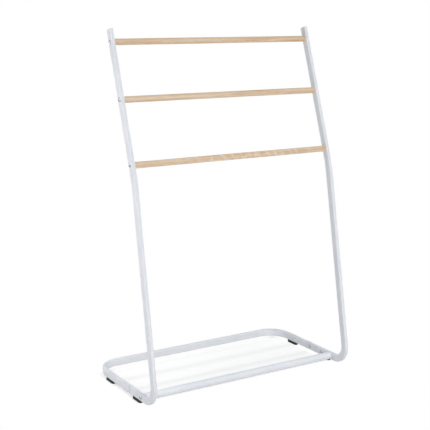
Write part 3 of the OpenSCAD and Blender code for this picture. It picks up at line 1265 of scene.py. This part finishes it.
@dataclass
class FloorPads:
    """The four rubber pads under the side runs, with grooved soles and barbed pegs."""

    peg_d: float = 5 * MM
    peg_spacing: float = 12 * MM
    peg_offset: float = 10 * MM
    peg_grip: float = 3 * MM
    peg_edge: float = 0.4 * MM
    peg_play: float = 0.05 * MM
    peg_steps: int = 32
    wall: float = 1.2 * MM
    barb: float = 0.5 * MM
    barb_h: float = 1.6 * MM
    edge: float = 0.7 * MM
    edge_steps: int = 4
    top_edge: float = 0.4 * MM
    tread_count: int = 4
    tread_w: float = 1.6 * MM
    tread_depth: float = 0.8 * MM

    def sole(self, name: str, plan: Stadium, thick: float) -> Mesh:
        """Makes the part of a pad below the tube, with its grooves.

        Args:
            name: The pad's name.
            plan: Its outline.
            thick: Its thickness.

        Returns:
            The mesh, its underside on the plane Z = 0.
        """
        rows = [(inset, self.edge - rise) for inset, rise in quarter_round(self.edge, self.edge_steps)]
        middle = EDGE_MIDDLE * self.top_edge
        rows = rows[::-1] + [(0.0, thick - self.top_edge), (middle, thick - middle), (self.top_edge, thick)]
        body = MeshWork.loft([plan.ring(inset, height) for inset, height in rows], name + "_body")
        pitch = (plan.length - plan.width) / (self.tread_count - 1)
        size = Matrix.Diagonal((2 * plan.width, self.tread_w, 2 * self.tread_depth, 1))
        tool = bmesh.new()
        for i in range(self.tread_count):
            place = Matrix.Translation((0, (i - (self.tread_count - 1) / 2) * pitch, 0))
            bmesh.ops.create_cube(tool, size=1.0, matrix=place @ size)
        return MeshWork.cut(body, MeshWork.close(tool, name + "_grooves"), name + "_sole")

    def peg(self, name: str, thick: float, y: float) -> Mesh:
        """Makes one barbed peg, which starts inside the sole and grips the tube's wall.

        Args:
            name: The pad's name.
            thick: The sole's thickness.
            y: The peg's place along Y.

        Returns:
            The mesh.
        """
        radius, seat = self.peg_d / 2, thick + self.wall
        top = seat + self.peg_grip
        profile = [
            (0, thick / 2), (radius, thick / 2), (radius, seat + self.peg_play),
            (radius + self.barb, seat + self.peg_play), (radius, seat + self.barb_h),
            (radius, top - self.peg_edge), (radius - self.peg_edge, top), (0, top),
        ]
        mesh = MeshWork.lathe(profile, name + "_peg", self.peg_steps)
        mesh.transform(Matrix.Translation((0, y, 0)))
        return mesh

    def build(self, shop: Workshop, tubes: TubeFrame) -> None:
        """Builds the four pads.

        Args:
            shop: The workshop.
            tubes: The frame that they carry.
        """
        thick = tubes.base_z - tubes.deep / 2
        for end, way in (("front", -1), ("rear", 1)):
            pegs = [way * self.peg_offset + step * self.peg_spacing / 2 for step in (-1, 1)]
            for side in Side:
                node = f"{end}_{side.word}_foot"
                name = node + "_pad"
                low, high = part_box(node)
                parts = [self.sole(name, Stadium(high.x - low.x, high.y - low.y), thick)]
                parts += [self.peg(name, thick, y) for y in pegs]
                mesh = MeshWork.joined(parts, name)
                mesh.transform(Matrix.Translation(((low.x + high.x) / 2, (low.y + high.y) / 2, 0)))
                shop.deliver(mesh, Slot.RUBBER, node)


@dataclass
class HiddenHardware:
    """The pieces inside the tubes and rails, kept as the CAD has them."""

    names: tuple[str, ...] = (
        "left_crossbar_bush", "right_crossbar_bush", "top_rail_inserts", "middle_rail_inserts",
        "lower_rail_inserts", "left_joint_bar", "right_joint_bar",
    )

    def build(self, shop: Workshop) -> None:
        """Dresses each kept node."""
        for node in self.names:
            shop.dress(node, Slot.INNER)


# ---- studio ----


@dataclass(frozen=True)
class Lamp:
    """A soft lamp that looks at the stand; surfaces' own rays don't look for it, which keeps grain down."""

    name: str
    place: Triple
    size: Pair
    power: float
    aim: Triple = (0.0, 0.0, 0.45)
    tint: Triple = (1.0, 1.0, 1.0)
    shadows: bool = True

    def build(self) -> None:
        """Hangs the lamp, unseen by the camera."""
        light = bpy.data.lights.new(self.name, "AREA")
        light.shape, light.energy, light.color = "RECTANGLE", self.power, self.tint
        light.size, light.size_y = self.size
        light.use_shadow = self.shadows
        light.cycles.use_multiple_importance_sampling = False
        obj = bpy.data.objects.new(self.name, light)
        obj.location = self.place
        way = Vector(self.aim) - Vector(self.place)
        obj.rotation_euler = way.to_track_quat("-Z", "Y").to_euler()
        obj.visible_camera = False
        bpy.context.scene.collection.objects.link(obj)


@dataclass
class Studio:
    """The camera, the floor, the world and the lamps."""

    eye: Triple = (-1.3749, -2.1915, 0.9581)
    yaw: float = math.radians(31.68)
    pitch: float = math.radians(9.95)
    lens: float = 83.52
    sensor: float = 36.0
    shift_y: float = -0.065
    clip: Pair = (0.05, 60.0)
    world_level: float = 0.36
    world_tint: tuple[float, ...] = (0.91, 0.965, 1.0, 1.0)
    floor_reach: float = 12.0
    floor_colour: float = 0.7
    floor_lift: float = 0.57
    floor_tint: Triple = (1.0, 0.98, 0.96)
    # The floor inside the base: where it lies, its share of plain white, and the strip it fades out over
    base_x: Pair = (-0.3, 0.28)
    base_y: Pair = (-0.087, 0.158)
    base_white: float = 0.36
    apron: float = 0.008
    lamps: tuple[Lamp, ...] = (
        Lamp("front_lamp", (-0.05, -3.8, 1.0), (1.4, 1.4), 37.0, tint=(1.0, 0.965, 0.94)),
        Lamp("low_front_lamp", (-0.1, -1.6, 0.35), (1.6, 0.3), 4.2, (0.0, 0.0, 0.05)),
        Lamp("upper_front_lamp", (-0.05, -2.9, 2.7), (1.4, 1.4), 14.0),
        Lamp("left_lamp", (-0.95, 0.1, 0.4), (0.4, 1.3), 3.85, (0.0, 0.0, 0.15), (1.0, 0.96, 0.955)),
        Lamp("overhead_lamp", (-0.3, -0.27, 3.4), (0.6, 0.6), 3.0, (0.0, 0.0, 0.0), (0.88, 0.95, 1.0)),
        Lamp("high_lamp", (-0.15, -0.56, 6.0), (0.16, 0.16), 44.0, (0.0, 0.0, 0.0), (0.9, 0.96, 1.0)),
        Lamp("right_lamp", (1.9, 0.1, 0.6), (0.5, 1.1), 8.5, (0.0, -0.05, 1.2), (0.94, 0.98, 1.0), False),
        Lamp("rear_lamp", (0.3, 3.6, 0.5), (2.2, 0.8), 26.0, tint=(0.92, 0.965, 1.0)),
    )

    def camera(self) -> None:
        """Sets up the camera before anything else is made."""
        data = bpy.data.cameras.new("view_camera")
        data.lens, data.sensor_width, data.shift_y = self.lens, self.sensor, self.shift_y
        data.clip_start, data.clip_end = self.clip
        obj = bpy.data.objects.new("view_camera", data)
        obj.location = self.eye
        obj.rotation_euler = (RIGHT_ANGLE - self.pitch, 0.0, -self.yaw)
        bpy.context.scene.collection.objects.link(obj)
        bpy.context.scene.camera = obj

    def world(self) -> None:
        """Makes a world that lights the stand at a plain level and looks white behind it."""
        world = bpy.data.worlds.new("white_room")
        sheet = ShaderSheet(world)
        bpy.context.scene.world = world
        lit = sheet.tree.nodes["Background"]
        sheet.feed(lit.inputs["Color"], self.world_tint)
        sheet.feed(lit.inputs["Strength"], self.world_level)
        seen = sheet.out(0, "ShaderNodeBackground", {"Color": (1.0, 1.0, 1.0, 1.0), "Strength": 1.0})
        mixed = sheet.mix_shaders(sheet.background_rays(), lit.outputs[0], seen)
        sheet.feed(sheet.tree.nodes["World Output"].inputs["Surface"], mixed)

    def white_share(self, sheet: FinishSheet) -> Socket:
        """Tells the floor inside the base from the floor round it.

        Args:
            sheet: The floor's material under way.

        Returns:
            The share of plain white: base_white inside the base, and 1 past the apron.
        """
        apart = sheet.add("ShaderNodeSeparateXYZ", {0: sheet.place})
        shares = []
        for axis, (low, high) in (("X", self.base_x), ("Y", self.base_y)):
            half = (high - low) / 2
            away = sheet.calc("ABSOLUTE", sheet.calc("SUBTRACT", apart.outputs[axis], (low + high) / 2))
            shares.append(sheet.spread(away, (self.base_white, 1.0), (half, half + self.apron)))
        return sheet.calc("MAXIMUM", *shares)

    def floor(self) -> None:
        """Makes a floor that is plain white to the camera, but shows the stand's shadow inside the base."""
        work = bmesh.new()
        bmesh.ops.create_grid(work, x_segments=1, y_segments=1, size=self.floor_reach)
        mesh = bpy.data.meshes.new("studio_floor")
        work.to_mesh(mesh)
        work.free()
        sheet = FinishSheet("studio_floor_white")
        bare, lift = [
            (*[share * level for share in self.floor_tint], 1.0)
            for level in (self.floor_colour, self.floor_lift)
        ]
        mesh.materials.append(sheet.wear(Base_Color=bare, Roughness=1.0, Specular_IOR_Level=0.0))
        lit = sheet.shader.outputs[0]
        lifted = sheet.out(
            0, "ShaderNodeAddShader", {0: lit, 1: sheet.out(0, "ShaderNodeBsdfDiffuse", {"Color": lift})}
        )
        seen = sheet.mix_shaders(self.white_share(sheet), lifted, sheet.out(0, "ShaderNodeEmission"))
        mixed = sheet.mix_shaders(sheet.background_rays(), lit, seen)
        sheet.feed(sheet.tree.nodes["Material Output"].inputs["Surface"], mixed)
        obj = bpy.data.objects.new("studio_floor", mesh)
        bpy.context.scene.collection.objects.link(obj)

    def build(self) -> None:
        """Makes the world, the floor and the lamps."""
        bpy.context.scene.view_settings.view_transform = "Standard"
        self.world()
        self.floor()
        for lamp in self.lamps:
            lamp.build()


def main() -> None:
    """Builds the stand in order."""
    logging.basicConfig(level=logging.INFO, format="%(name)s: %(message)s")
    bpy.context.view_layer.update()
    studio = Studio()
    studio.camera()
    shop = Workshop()
    tubes = TubeFrame()
    tubes.build(shop)
    WoodenRails().build(shop)
    Fasteners().build(shop, tubes)
    EndPlugs().build(shop, tubes)
    FloorPads().build(shop, tubes)
    HiddenHardware().build(shop)
    studio.build()


if __name__ == "__main__":
    main()
